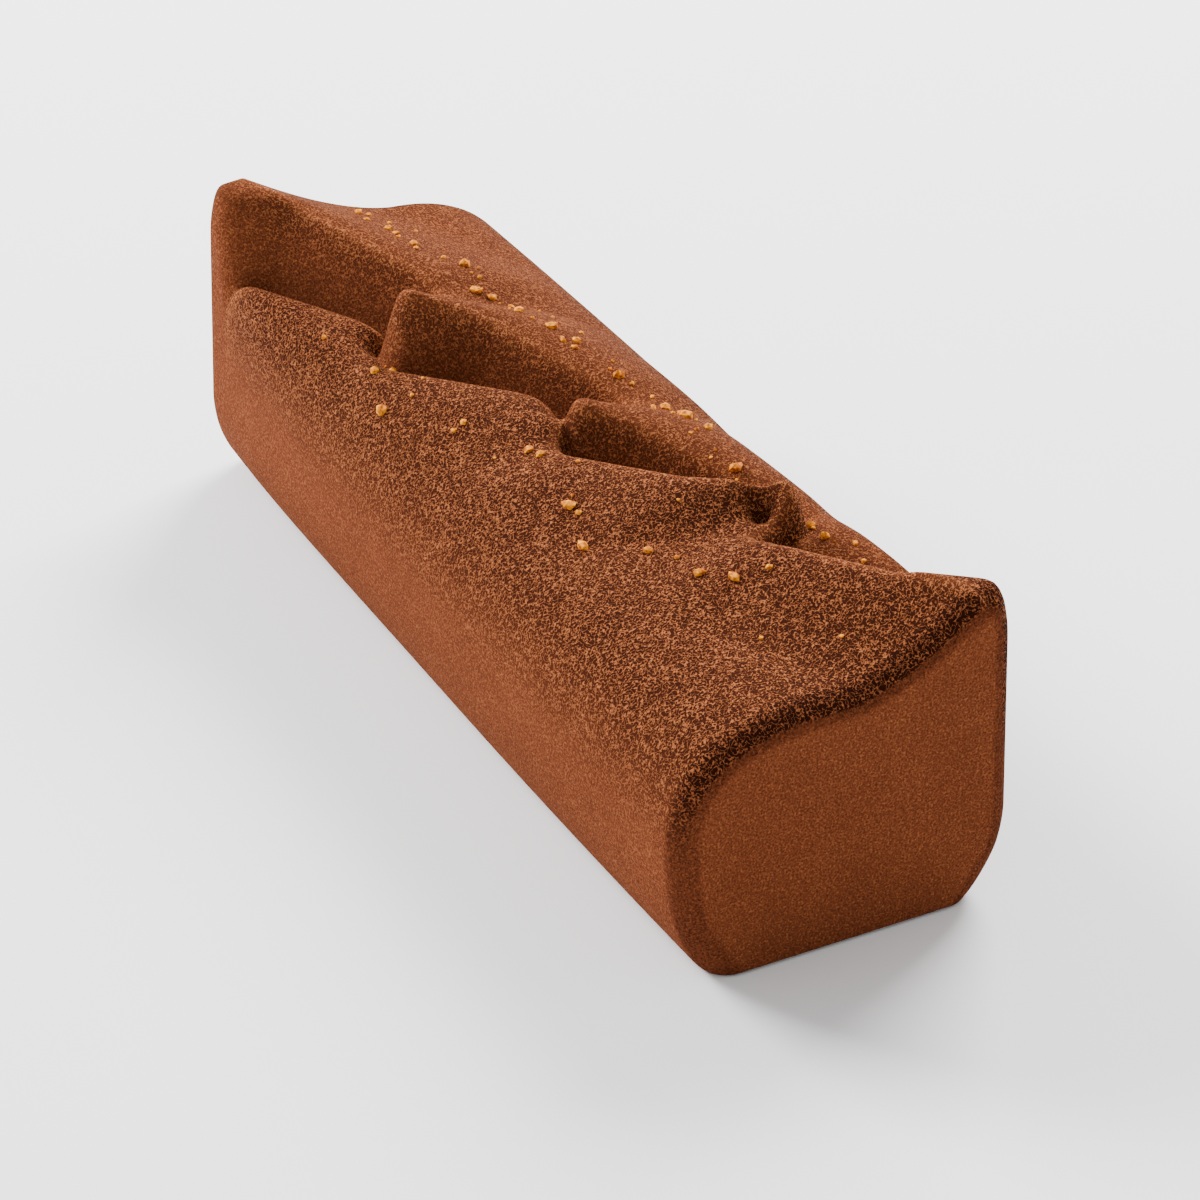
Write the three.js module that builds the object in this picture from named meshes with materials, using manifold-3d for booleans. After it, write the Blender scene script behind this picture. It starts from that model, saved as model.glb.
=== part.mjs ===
import * as THREE from "three";
import { mergeVertices } from "three/addons/utils/BufferGeometryUtils.js";
import Module from "manifold-3d";

// Chocolate yule log cake: one uncut log of frozen mousse with a velvet coat, in millimetres, +Z up.
// The origin is on the base under the middle of the log, and +X runs along its length.
// The top is two layers that grip each other along a zigzag seam. The near layer (towards -Y)
// climbs to its folds from one side, and the far layer is the same form turned half a turn.

// Driving dimensions of the log
const LENGTH = 250;
const HALF_WIDTH = 41;
const SIDE_BULGE = 2.5;
const SEAM_SLOPE = 0.5;
const END_FILLET = 6;
const BASE_FILLET = 1.1;
const CORNER = { spread: 0.7, height: 14 };

// The side under a round shoulder, and the side under a tall peak
const SHOULDER_SIDE = { widestAt: 36, footInset: 10.2, shoulderRound: 34.5, plateau: 63.3, power: 2.25 };
const PEAK_SIDE = { widestAt: 22, footInset: 10, shoulderRound: 6.5, plateau: 59, power: 3 };
const SIDE_CHANGE = { from: -105, to: 10 };
const FOOT_TURN = THREE.MathUtils.degToRad(72);
const WALL_LEAN = 0.035;
const WALL_ROUNDING = 3;

// The folds of each layer: the seam crosses the middle line at crossing, the crest is crestHeight
// above the base at the fold's start and crestHeight + climb * length at its tip
const NEAR_FOLDS = [
  { crossing: -28, start: -119, tip: -65, crestHeight: 61.5, climb: 0.04, startBend: 0, tipBend: 0 },
  { crossing: 2.5, start: -54, tip: -2, crestHeight: 61, climb: 0.2, startBend: 4, tipBend: 1 },
  { crossing: 33.3, start: 4, tip: 59.5, crestHeight: 65, climb: 0.2, startBend: 7, tipBend: 9 },
  { crossing: 59.4, start: 64, tip: 150, crestHeight: 71, climb: 0.145, startBend: 7, tipBend: 0 },
];
const FAR_FOLDS = [
  { crossing: -28, start: -119, tip: -64, crestHeight: 55, climb: 0.18, startBend: 0, tipBend: 0 },
  { crossing: 2.5, start: -58, tip: -3, crestHeight: 61, climb: 0.2, startBend: 4, tipBend: 5.5 },
  { crossing: 33.3, start: -4, tip: 55, crestHeight: 64, climb: 0.22, startBend: 7, tipBend: 8 },
  { crossing: 59.4, start: 58, tip: 150, crestHeight: 69.6, climb: 0.183, startBend: 7, tipBend: 0 },
];
const BEND_LENGTH = 16;
const SEAM_STEPS = 12;
const TIP_RADIUS = 4;
const NEAR_RIDGE_REACH = 30;
const FAR_RIDGE_REACH = 40;
const RIDGE_POWER = 1.5;
const BLEND_POWER = 4;
const FADE_IN = 30;
const FADE_OUT = 35;
const WALL_SLOPE = 2.65;
const CREST_ROUNDING = 4;
const WORN_OFF = 0.3 * WALL_SLOPE * CREST_ROUNDING;
const VALLEY_ROUNDING = 1.2;
const VALLEY_DEPTH = 11;

// The steeper nose of each fold, the pockets that the other layer's noses press in, and the ends,
// where the wall of each layer runs out past its edge
const NOSE = { ahead: 3, radius: 7, steepness: 0.9 };
const NEAR_POCKETS = [[-61.5, -21.5], [-3, -3], [59, 15]];
const FAR_POCKETS = [[-61.5, -21.5]];
const POCKET = { depth: 13, radius: 2.8, rounding: 1.2 };
const END_SHIFT = { reach: 12, from: 103, to: 122 };

// Mesh steps round one section and along the log
const BASE_STEPS = 3;
const FOOT_STEPS = 5;
const TOP_STEPS = 40;
const SEAM_CLOSENESS = 2.5;
const SEAM_ZONE = 6;
const SAMPLES = 500;
const RING_SPACING = 3;
const FILLET_STEPS = 3;
const CAP_SCALES = [0.66, 0.33];
const SECTION_MIDDLE = 36;
const SMOOTHING = 2;

// Praline crumbs that are large enough to show from a step away
const CRUMB_SEED = 24;
const CRUMB_BANDS = [
  { count: 8, fromX: -112, toX: -30, fromY: 0, toY: 14, scatter: 7 },
  { count: 9, fromX: -30, toX: 72, fromY: 15, toY: 28, scatter: 4 },
  { count: 11, fromX: -62, toX: 92, fromY: -31, toY: -6, scatter: 11 },
];
const CRUMB_RADIUS = { least: 0.9, most: 1.6 };
const CRUMB_SINK = 0.25;

const log = new THREE.MeshStandardMaterial({ color: 0x96533a, roughness: 0.92, metalness: 0 });
log.name = "chocolate velvet";

/** A value that goes smoothly from 0 to 1 as x goes from one edge to the other. */
function smoothStep(from, to, x) {
  const t = THREE.MathUtils.clamp((x - from) / (to - from), 0, 1);
  return t * t * (3 - 2 * t);
}

/** The larger of two heights, with a rounded change between them. */
function roundedMax(a, b, rounding) {
  return (a + b + Math.hypot(a - b, rounding)) / 2;
}

/** The smaller of two heights, with a rounded change between them. */
function roundedMin(a, b, rounding) {
  return -roundedMax(-a, -b, rounding);
}

/** The y of a fold's crest line at x, with its tip bent over the seam and its start bent back. */
function crestLine(fold, x) {
  const toTip = Math.max(0, 1 - (fold.tip - x) / BEND_LENGTH);
  const toStart = Math.max(0, 1 - (x - fold.start) / BEND_LENGTH);
  const bend = fold.tipBend * Math.min(toTip, 1) ** 2 + fold.startBend * Math.min(toStart, 1) ** 2;
  return SEAM_SLOPE * (x - fold.crossing) + bend;
}

/** The free edge of a layer seen from above: a zigzag that runs along each fold in turn. */
function seamEdge(folds) {
  const edge = [[-LENGTH, -LENGTH]];
  for (const fold of folds) {
    for (let step = 0; step <= SEAM_STEPS; step += 1) {
      const x = THREE.MathUtils.lerp(fold.start, fold.tip, step / SEAM_STEPS);
      edge.push([x, crestLine(fold, x) - TIP_RADIUS]);
    }
  }
  edge.push([LENGTH, -LENGTH]);
  return edge;
}

/** Distance from a point to the closed zigzag, less than zero inside it. */
function distanceToSeam(edge, x, y) {
  let nearest = Infinity;
  let inside = false;
  for (let i = 0, j = edge.length - 1; i < edge.length; j = i, i += 1) {
    const [ax, ay] = edge[i];
    const [bx, by] = edge[j];
    const along = ((x - ax) * (bx - ax) + (y - ay) * (by - ay)) / ((bx - ax) ** 2 + (by - ay) ** 2);
    const t = THREE.MathUtils.clamp(along, 0, 1);
    nearest = Math.min(nearest, Math.hypot(x - ax - t * (bx - ax), y - ay - t * (by - ay)));
    if (ay > y !== by > y && x < ax + ((y - ay) / (by - ay)) * (bx - ax)) inside = !inside;
  }
  return inside ? -nearest : nearest;
}

/** The side's sizes at x, between the peak side at the back end and the shoulder side in front. */
function sideAt(x) {
  const share = smoothStep(SIDE_CHANGE.from, SIDE_CHANGE.to, x);
  const side = {};
  for (const size of Object.keys(PEAK_SIDE)) {
    side[size] = THREE.MathUtils.lerp(PEAK_SIDE[size], SHOULDER_SIDE[size], share);
  }
  side.widest = HALF_WIDTH + SIDE_BULGE * (1 - (2 * x / LENGTH) ** 2);
  return side;
}

/** How much of its full height a rounded shoulder has reached at y, from 0 to 1. */
function rise(side, y) {
  const reach = THREE.MathUtils.clamp(1 - (side.widest + y) / side.shoulderRound, 0, 1);
  return (1 - reach ** side.power) ** (1 / side.power);
}

/** The slope of a layer's wall, which is steeper round the nose of each fold. */
function steepness(layer, x, y) {
  let slope = WALL_SLOPE;
  for (const fold of layer.folds) {
    const away = Math.hypot(x - fold.tip - NOSE.ahead, y - crestLine(fold, fold.tip)) / NOSE.radius;
    slope += WALL_SLOPE * NOSE.steepness * Math.exp(-(away ** 2));
  }
  return slope;
}

/** How deep a layer is drawn in where the other layer's noses press on it. */
function pocketDepth(layer, x, y) {
  let drawnIn = 0;
  for (const [pocketX, pocketY] of layer.pockets) {
    const away = Math.hypot(x - pocketX, y - pocketY, POCKET.rounding);
    drawnIn += POCKET.depth * Math.exp(-away / POCKET.radius);
  }
  return drawnIn;
}

/** Height of one layer above the base: plateau, folds and the wall that drops past its edge. */
function layerHeight(layer, x, y) {
  const { plateau } = sideAt(x);
  const atEnd = smoothStep(END_SHIFT.from, END_SHIFT.to, x);
  let ridges = 0;
  for (const fold of layer.folds) {
    const shownFrom = smoothStep(fold.start - FADE_IN, fold.start + BEND_LENGTH, x);
    const shown = shownFrom * (1 - smoothStep(fold.tip, fold.tip + FADE_OUT, x));
    const crest = fold.crestHeight + fold.climb * (x - fold.start) + WORN_OFF * (1 - atEnd);
    const away = THREE.MathUtils.clamp((crestLine(fold, x) - y) / layer.ridgeReach, 0, 1);
    const ridge = shown * Math.max(0, crest - plateau) * (1 - away) ** RIDGE_POWER;
    ridges += ridge ** BLEND_POWER;
  }
  const height = plateau + ridges ** (1 / BLEND_POWER);
  const past = distanceToSeam(layer.edge, x, y) - TIP_RADIUS - END_SHIFT.reach * atEnd;
  const slope = steepness(layer, x, y);
  const rounding = (CREST_ROUNDING * WALL_SLOPE) / slope;
  return height - pocketDepth(layer, x, y) - (slope * (past + Math.hypot(past, rounding))) / 2;
}

const nearLayer = {
  folds: NEAR_FOLDS,
  edge: seamEdge(NEAR_FOLDS),
  ridgeReach: NEAR_RIDGE_REACH,
  pockets: NEAR_POCKETS,
};
const farLayer = {
  folds: FAR_FOLDS,
  edge: seamEdge(FAR_FOLDS),
  ridgeReach: FAR_RIDGE_REACH,
  pockets: FAR_POCKETS,
};

/** Height of the top of the log at a place on it. */
function topHeight(x, y) {
  const nearSide = sideAt(x);
  const farSide = sideAt(-x);
  const folded = roundedMax(layerHeight(nearLayer, x, y), layerHeight(farLayer, -x, -y), VALLEY_ROUNDING);
  const floor = Math.min(nearSide.plateau, farSide.plateau) - VALLEY_DEPTH;
  const floored = roundedMax(folded, floor, VALLEY_ROUNDING);
  const widestAt = y < 0 ? nearSide.widestAt : farSide.widestAt;
  let height = widestAt + (floored - widestAt) * rise(nearSide, y) * rise(farSide, -y);
  for (const [side, outward] of [[nearSide, y], [farSide, -y]]) {
    const inwards = Math.max(0, side.widest + outward);
    const wall = side.widestAt + inwards / WALL_LEAN;
    height = roundedMin(height, wall, WALL_ROUNDING * Math.min(1, inwards));
  }
  return height;
}

/** Points along the top of a section, spaced evenly but closer together near the seam. */
function evenPoints(points, x, steps) {
  const lengths = [0];
  for (let i = 1; i < points.length; i += 1) {
    const { x: y } = points[i];
    const toSeam = Math.min(
      Math.abs(distanceToSeam(nearLayer.edge, x, y)),
      Math.abs(distanceToSeam(farLayer.edge, -x, -y)),
    );
    const closer = 1 + SEAM_CLOSENESS * Math.exp(-((toSeam / SEAM_ZONE) ** 2));
    lengths.push(lengths[i - 1] + closer * points[i].distanceTo(points[i - 1]));
  }
  const even = [];
  let i = 1;
  for (let step = 0; step <= steps; step += 1) {
    const at = (lengths[lengths.length - 1] * step) / steps;
    while (i < points.length - 1 && lengths[i] < at) i += 1;
    const t = (at - lengths[i - 1]) / (lengths[i] - lengths[i - 1]);
    even.push(new THREE.Vector2().lerpVectors(points[i - 1], points[i], THREE.MathUtils.clamp(t, 0, 1)));
  }
  return even;
}

/** The round foot of a side, from the base up to the widest height, for y towards -Y. */
function footPoints(side) {
  const points = [];
  for (let step = 0; step <= FOOT_STEPS; step += 1) {
    const angle = FOOT_TURN * (1 - step / FOOT_STEPS);
    const inwards = (side.footInset * (1 - Math.cos(angle))) / (1 - Math.cos(FOOT_TURN));
    const height = side.widestAt * (1 - Math.sin(angle) / Math.sin(FOOT_TURN));
    points.push(new THREE.Vector2(inwards - side.widest, height));
  }
  return points;
}

/** The closed outline of the log at x: near foot, top, far foot and base, in that order. */
function section(x) {
  const nearFoot = footPoints(sideAt(x));
  const farFoot = footPoints(sideAt(-x)).map((point) => new THREE.Vector2(-point.x, point.y)).reverse();
  const top = [];
  const nearSide = sideAt(x);
  const farSide = sideAt(-x);
  for (let step = 0; step <= SAMPLES; step += 1) {
    const turn = Math.PI * (step / SAMPLES);
    const y = -Math.cos(turn) * nearSide.widest;
    top.push(new THREE.Vector2(y, topHeight(x, y)));
  }
  top[0].y = nearSide.widestAt;
  top[SAMPLES].y = farSide.widestAt;
  const even = evenPoints(top, x, TOP_STEPS);
  const base = between(farFoot[FOOT_STEPS], nearFoot[0], BASE_STEPS);
  return [...nearFoot.slice(0, -1), ...even.slice(0, -1), ...farFoot, ...base];
}

/** Points spaced evenly from one to another, without the first and the last. */
function between(from, to, steps) {
  const points = [];
  for (let step = 1; step < steps; step += 1) {
    points.push(new THREE.Vector2().lerpVectors(from, to, step / steps));
  }
  return points;
}

/** The inward normal at each point of an open line, from its neighbours on both sides. */
function inwardNormals(line) {
  const last = line.length - 1;
  const at = (i) => line[THREE.MathUtils.clamp(i, 0, last)];
  return line.map((point, i) => {
    const normal = new THREE.Vector2();
    for (let step = i - SMOOTHING; step <= i + SMOOTHING; step += 1) {
      const run = at(step + 1).clone().sub(at(step - 1));
      normal.add(new THREE.Vector2(run.y, -run.x).normalize());
    }
    return normal.normalize();
  });
}

/** The outline moved inwards, farther at the foot of its corners, with its base lifted a little. */
function inset(outline, distance) {
  const upper = outline.slice(0, outline.length - BASE_STEPS + 1);
  const lifted = (distance * BASE_FILLET) / END_FILLET;
  const normals = inwardNormals(upper);
  const moved = upper.map((point, i) => {
    const aboveCorner = smoothStep(0, CORNER.height, point.y);
    const reach = distance * (1 + CORNER.spread * (1 - aboveCorner));
    const height = Math.max(point.y + reach * normals[i].y * aboveCorner, lifted);
    return new THREE.Vector2(point.x + reach * normals[i].x, height);
  });
  return [...moved, ...between(moved[moved.length - 1], moved[0], BASE_STEPS)];
}

/** The outlines in order from the back end to the front end, as rings of 3D points. */
function rings() {
  const all = [];
  const flat = LENGTH / 2 - END_FILLET;
  const place = (outline, x) => outline.map((point) => new THREE.Vector3(x, point.x, point.y));
  const endRings = (end) => {
    const ends = [];
    for (let step = 1; step <= FILLET_STEPS; step += 1) {
      const angle = (Math.PI / 2) * (step / FILLET_STEPS);
      const outline = inset(section(end * flat), END_FILLET * (1 - Math.cos(angle)));
      ends.push(place(outline, end * (flat + END_FILLET * Math.sin(angle))));
    }
    const rim = ends[ends.length - 1];
    const middle = new THREE.Vector3(end * LENGTH / 2, 0, SECTION_MIDDLE);
    for (const scale of CAP_SCALES) {
      ends.push(rim.map((point) => new THREE.Vector3().lerpVectors(middle, point, scale)));
    }
    return ends;
  };
  const steps = Math.round((2 * flat) / RING_SPACING);
  for (let step = 0; step <= steps; step += 1) {
    const x = THREE.MathUtils.lerp(-flat, flat, step / steps);
    all.push(place(section(x), x));
  }
  return [...endRings(-1).reverse(), ...all, ...endRings(1)];
}

/** One closed skin over the rings, with a point in the middle of each end. */
function skin(loops) {
  const size = loops[0].length;
  const positions = loops.flat().flatMap((point) => point.toArray());
  const triangles = [];
  for (let ring = 0; ring < loops.length - 1; ring += 1) {
    for (let i = 0; i < size; i += 1) {
      const a = ring * size + i;
      const b = ring * size + ((i + 1) % size);
      triangles.push(a, a + size, b, b, a + size, b + size);
    }
  }
  const back = positions.length / 3;
  positions.push(-LENGTH / 2, 0, SECTION_MIDDLE, LENGTH / 2, 0, SECTION_MIDDLE);
  const last = (loops.length - 1) * size;
  for (let i = 0; i < size; i += 1) {
    const next = (i + 1) % size;
    triangles.push(back, i, next, back + 1, last + next, last + i);
  }
  const geometry = new THREE.BufferGeometry();
  geometry.setAttribute("position", new THREE.Float32BufferAttribute(positions, 3));
  geometry.setIndex(triangles);
  return geometry;
}

/** Random numbers from 0 to 1 that come out the same each time (a linear congruential rule). */
function seededRandom(seed) {
  const modulus = 2147483647;
  const factor = 48271;
  let state = seed;
  return () => {
    state = (state * factor) % modulus;
    return state / modulus;
  };
}

/** A broken bit of praline: a lumpy stone shape, pressed into the top where it fell. */
function crumb(random, x, y) {
  const geometry = new THREE.IcosahedronGeometry(1, 0);
  geometry.deleteAttribute("normal");
  geometry.deleteAttribute("uv");
  const stone = mergeVertices(geometry);
  const radius = THREE.MathUtils.lerp(CRUMB_RADIUS.least, CRUMB_RADIUS.most, random());
  const corners = stone.getAttribute("position");
  for (let i = 0; i < corners.count; i += 1) {
    const swell = 0.8 + 0.4 * random();
    corners.setXYZ(i, corners.getX(i) * swell, corners.getY(i) * swell, corners.getZ(i) * swell);
  }
  stone.scale(radius * (0.9 + 0.5 * random()), radius, radius * 0.85);
  stone.rotateZ(random() * Math.PI * 2);
  stone.translate(x, y, topHeight(x, y) + radius * CRUMB_SINK);
  return stone;
}

/** Every large crumb, spread along the two bands where they were strewn. */
function crumbs() {
  const random = seededRandom(CRUMB_SEED);
  const all = [];
  for (const band of CRUMB_BANDS) {
    for (let i = 0; i < band.count; i += 1) {
      const share = (i + random()) / band.count;
      const aside = (random() + random() - 1) * band.scatter;
      const x = THREE.MathUtils.lerp(band.fromX, band.toX, share);
      const y = THREE.MathUtils.lerp(band.fromY, band.toY, share) + aside;
      all.push(crumb(random, x, y));
    }
  }
  return all;
}

const wasm = await Module();
wasm.setup();

/** A closed geometry as a solid that can be joined. */
function toSolid(geometry) {
  return new wasm.Manifold(new wasm.Mesh({
    numProp: 3,
    vertProperties: new Float32Array(geometry.getAttribute("position").array),
    triVerts: new Uint32Array(geometry.getIndex().array),
  }));
}

/** A joined solid as a geometry. */
function toGeometry(solid) {
  const mesh = solid.getMesh();
  const geometry = new THREE.BufferGeometry();
  geometry.setAttribute("position", new THREE.BufferAttribute(mesh.vertProperties, 3));
  geometry.setIndex(new THREE.BufferAttribute(mesh.triVerts, 1));
  geometry.computeVertexNormals();
  return geometry;
}

let cake = toSolid(skin(rings()));
for (const piece of crumbs()) {
  cake = cake.add(toSolid(piece));
}

const group = new THREE.Group();
const body = new THREE.Mesh(toGeometry(cake), log);
body.name = "yule_log";
group.add(body);

export default group;
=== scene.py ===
"""A chocolate yule log cake: frozen mousse in a cocoa velvet coat, with praline crumbs on its folds."""

import logging
import math
from dataclasses import dataclass, field
from enum import Enum

import bmesh
import bpy
import numpy as np
from mathutils import Matrix, Vector


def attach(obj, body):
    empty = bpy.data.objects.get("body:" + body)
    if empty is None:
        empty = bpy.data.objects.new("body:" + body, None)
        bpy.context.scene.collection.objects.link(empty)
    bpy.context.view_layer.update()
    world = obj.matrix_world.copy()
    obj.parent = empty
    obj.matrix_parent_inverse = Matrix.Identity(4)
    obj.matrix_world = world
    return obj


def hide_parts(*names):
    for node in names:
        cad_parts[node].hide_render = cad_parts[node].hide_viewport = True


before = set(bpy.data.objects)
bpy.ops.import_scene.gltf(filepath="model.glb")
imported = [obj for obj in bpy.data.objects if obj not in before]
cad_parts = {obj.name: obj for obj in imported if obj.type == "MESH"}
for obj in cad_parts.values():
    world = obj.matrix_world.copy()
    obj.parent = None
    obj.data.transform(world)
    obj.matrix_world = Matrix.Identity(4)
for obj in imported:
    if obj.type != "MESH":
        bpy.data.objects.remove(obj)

logging.basicConfig(level=logging.INFO, format="%(message)s")
LOG = logging.getLogger("yule_log")
MM = 0.001
CAD_NODE = "yule_log"
COARSENESS_AND_GAP_SHADE = "coarseness"
PAINTED_RIM_LIGHT_AND_SHADE = "painted_rim_light_and_shade"

# The steps of a colour channel, and the curve between sRGB values and linear light.
CHANNEL_STEPS = 255
SRGB_KNEE = 0.04045
SRGB_SLOPE = 12.92
SRGB_OFFSET = 0.055
SRGB_POWER = 2.4

# Sockets by number, because those of a Math node and of a Mix node share their names.
FIRST, SECOND, THIRD = 0, 1, 2
MIX_SHARE, MIX_LOW, MIX_HIGH, MIX_COLOUR_LOW, MIX_COLOUR_HIGH = 0, 2, 3, 6, 7
MIX_COLOUR_RESULT = 2

# The value that a noise takes on average.
NOISE_MIDDLE = 0.5

# How far a bmesh grid reaches to each side, so that it is one unit wide.
GRID_REACH = 0.5


def linear(code: str) -> tuple[float, float, float, float]:
    """Turn an sRGB hex colour into linear light.

    Args:
        code: Six hex digits with a leading hash.

    Returns:
        Red, green, blue and an alpha of one.
    """
    light = []
    for start in (1, 3, 5):
        part = int(code[start : start + 2], 16) / CHANNEL_STEPS
        if part <= SRGB_KNEE:
            light.append(part / SRGB_SLOPE)
        else:
            light.append(((part + SRGB_OFFSET) / (1 + SRGB_OFFSET)) ** SRGB_POWER)
    return (*light, 1.0)


def add_node(tree: bpy.types.NodeTree, kind: str, settings: dict, links: dict) -> bpy.types.Node:
    """Add one shader node.

    Args:
        tree: The material's node tree.
        kind: The node's type name.
        settings: Attributes of the node, or values of its input sockets by name or number.
        links: Output sockets to connect, by the name or number of the input that takes each.

    Returns:
        The new node.
    """
    node = tree.nodes.new(kind)
    for name, value in settings.items():
        if isinstance(name, str) and hasattr(node, name):
            setattr(node, name, value)
        else:
            node.inputs[name].default_value = value
    for name, socket in links.items():
        tree.links.new(socket, node.inputs[name])
    return node


def smooth_step(low: float, high: float, x: np.ndarray) -> np.ndarray:
    """Go smoothly from 0 to 1 as x goes from low to high."""
    t = np.clip((x - low) / (high - low), 0, 1)
    return t * t * (3 - 2 * t)


def rounded_max(a: np.ndarray, b: np.ndarray, rounding: float) -> np.ndarray:
    """Give the larger of two heights, with a rounded change between them."""
    return (a + b + np.hypot(a - b, rounding)) / 2


def rounded_min(a: np.ndarray, b: np.ndarray, rounding: float) -> np.ndarray:
    """Give the smaller of two heights, with a rounded change between them."""
    return -rounded_max(-a, -b, rounding)


class SideKind(Enum):
    """The two forms that a long side of the log changes between."""

    SHOULDER = "round shoulder"
    PEAK = "tall peak"


@dataclass(frozen=True)
class SideForm:
    """The section of one long side, in millimetres.

    Attributes:
        widest_at: The height where the log is widest.
        foot_inset: How far the round foot draws in down to the base.
        shoulder_round: How far in from the widest place the round shoulder reaches.
        plateau: The height of the plain top.
        power: How square the shoulder is, 2 for a quarter of an ellipse.
    """

    widest_at: float
    foot_inset: float
    shoulder_round: float
    plateau: float
    power: float


SIDE_FORMS = {
    SideKind.SHOULDER: SideForm(
        widest_at=36, foot_inset=10.2, shoulder_round=34.5, plateau=63.3, power=2.25
    ),
    SideKind.PEAK: SideForm(
        widest_at=22, foot_inset=10, shoulder_round=6.5, plateau=59, power=3
    ),
}


@dataclass(frozen=True)
class Fold:
    """One fold of a layer, in millimetres: where its crest runs and how high it stands.

    Attributes:
        crossing: Where the line of its crest crosses the log's middle line.
        start: Where it starts along the log.
        tip: Where its nose ends along the log.
        crest_height: The height of its crest at its start.
        climb: How much its crest rises for each millimetre along the log.
        start_bend: How far its start bends towards the other layer.
        tip_bend: How far its nose bends towards it.
    """

    crossing: float
    start: float
    tip: float
    crest_height: float
    climb: float
    start_bend: float
    tip_bend: float


@dataclass
class Layer:
    """One of the two layers that grip each other along the zigzag seam, in millimetres.

    Attributes:
        folds: Its folds, from the back end to the front end.
        pockets: The x and y of each place where it is drawn in.
        ridge_reach: How far a fold's ridge reaches back from its crest.
        seam_slope: How much each part of the seam runs across the log as it runs along.
        bend_length: The length over which a crest bends at each end.
        seam_steps: How many straight steps stand for one fold's edge.
        tip_radius: The radius of the noses seen from above.
        ridge_power: How quickly a ridge falls off behind its crest.
        wall_slope: The slope of the wall below a crest.
        crest_rounding: How round the edge between top and wall is.
        fade_in: The length before its start in which a fold rises.
        fade_out: The length past its nose in which it sinks.
        blend_power: How sharply one fold's ridge takes over from the next one's.
        worn_share: The share of the crest's rounding that is added back to its height.
        nose_ahead: How far past its tip a nose is steepest.
        nose_radius: The reach of that steeper place.
        nose_steepness: How much steeper the wall is there, as a share.
        pocket_depth: How deep a pocket is at its middle.
        pocket_radius: The length in which a pocket grows shallow.
        pocket_rounding: How round the bottom of a pocket is.
        end_reach: How far the layer reaches past the seam at its tall end.
        end_from: Where that starts along the log.
        end_to: Where it is complete.
        edge_span: How far from the middle its outline reaches, well past the log.
    """

    folds: tuple[Fold, ...]
    pockets: tuple[tuple[float, float], ...]
    ridge_reach: float
    seam_slope: float = 0.5
    bend_length: float = 16
    seam_steps: int = 12
    tip_radius: float = 4
    ridge_power: float = 1.5
    wall_slope: float = 2.65
    crest_rounding: float = 4
    fade_in: float = 30
    fade_out: float = 35
    blend_power: float = 4
    worn_share: float = 0.3
    nose_ahead: float = 3
    nose_radius: float = 7
    nose_steepness: float = 0.9
    pocket_depth: float = 13
    pocket_radius: float = 2.8
    pocket_rounding: float = 1.2
    end_reach: float = 12
    end_from: float = 103
    end_to: float = 122
    edge_span: float = 250

    def crest_line(self, fold: Fold, x: np.ndarray) -> np.ndarray:
        """Give the y of a fold's crest, which bends towards the other layer at both its ends.

        Args:
            fold: The fold.
            x: Places along the log.

        Returns:
            The crest's y at each place.
        """
        to_tip = np.clip(1 - (fold.tip - x) / self.bend_length, 0, 1)
        to_start = np.clip(1 - (x - fold.start) / self.bend_length, 0, 1)
        bend = fold.tip_bend * to_tip**2 + fold.start_bend * to_start**2
        return self.seam_slope * (x - fold.crossing) + bend

    def seam_edge(self) -> list[tuple[float, float]]:
        """Give the layer's free edge seen from above, a zigzag along each fold in turn.

        Returns:
            The corners of the closed outline.
        """
        edge = [(-self.edge_span, -self.edge_span)]
        for fold in self.folds:
            for x in np.linspace(fold.start, fold.tip, self.seam_steps + 1):
                edge.append((float(x), float(self.crest_line(fold, x)) - self.tip_radius))
        return [*edge, (self.edge_span, -self.edge_span)]

    def to_seam(self, x: np.ndarray, y: np.ndarray) -> np.ndarray:
        """Measure how far points lie past the zigzag, less than zero inside it.

        Args:
            x: The points' places along the log.
            y: The points' places across it.

        Returns:
            The distances.
        """
        edge = self.seam_edge()
        nearest = np.full(np.shape(x), np.inf)
        inside = np.zeros(np.shape(x), bool)
        for (ax, ay), (bx, by) in zip(edge, edge[-1:] + edge[:-1]):
            along = ((x - ax) * (bx - ax) + (y - ay) * (by - ay)) / ((bx - ax) ** 2 + (by - ay) ** 2)
            t = np.clip(along, 0, 1)
            nearest = np.minimum(nearest, np.hypot(x - ax - t * (bx - ax), y - ay - t * (by - ay)))
            if ay != by:
                inside ^= ((ay > y) != (by > y)) & (x < ax + (y - ay) / (by - ay) * (bx - ax))
        return np.where(inside, -nearest, nearest)

    def steepness(self, x: np.ndarray, y: np.ndarray) -> np.ndarray:
        """Give the slope of the wall, which is steeper round the nose of each fold.

        Args:
            x: Places along the log.
            y: Places across it.

        Returns:
            The slopes.
        """
        slope = self.wall_slope
        for fold in self.folds:
            across = y - self.crest_line(fold, np.float64(fold.tip))
            away = np.hypot(x - fold.tip - self.nose_ahead, across) / self.nose_radius
            slope = slope + self.wall_slope * self.nose_steepness * np.exp(-away**2)
        return slope

    def pocket(self, x: np.ndarray, y: np.ndarray) -> np.ndarray:
        """Give how deep the layer is drawn in where the other layer's noses press on it.

        Args:
            x: Places along the log.
            y: Places across it.

        Returns:
            The depths.
        """
        drawn_in = 0
        for pocket_x, pocket_y in self.pockets:
            away = np.hypot(np.hypot(x - pocket_x, y - pocket_y), self.pocket_rounding)
            drawn_in = drawn_in + self.pocket_depth * np.exp(-away / self.pocket_radius)
        return drawn_in

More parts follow.
